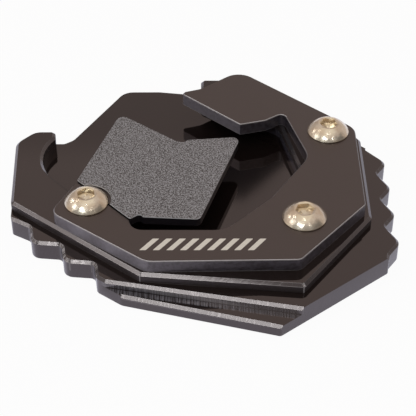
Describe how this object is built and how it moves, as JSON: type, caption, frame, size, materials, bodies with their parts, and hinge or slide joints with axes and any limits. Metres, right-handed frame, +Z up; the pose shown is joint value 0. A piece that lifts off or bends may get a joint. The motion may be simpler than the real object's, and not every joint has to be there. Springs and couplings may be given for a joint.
{
  "type": "motorcycle side-stand foot enlarger",
  "caption": "Milled wide foot pad for a motorcycle side stand: a toothed base with a foot pocket, a clamp plate with a springy tongue over it, and socket screws.",
  "frame": {"origin": "on the ground face, below the middle of the foot pocket's front half", "axes": "-Z out of the ground face, +Z up out of the foot pocket, -Y towards the pointed front, +X towards the row of four teeth; the pocket's mouth opens to -X and +Y"},
  "size_m": [0.0946, 0.0907, 0.0135],
  "materials": {
    "anodised_satin": "satin black anodised, milled, glossy in the pocket",
    "anodised_blasted": "black anodised over a fine blasted surface",
    "stainless": "plain stainless steel, lightly polished"
  },
  "bodies": {
    "root": {"base_plate": "anodised_satin", "clamp_plate": "anodised_blasted", "clamp_screws": "stainless"}
  },
  "joints": []
}
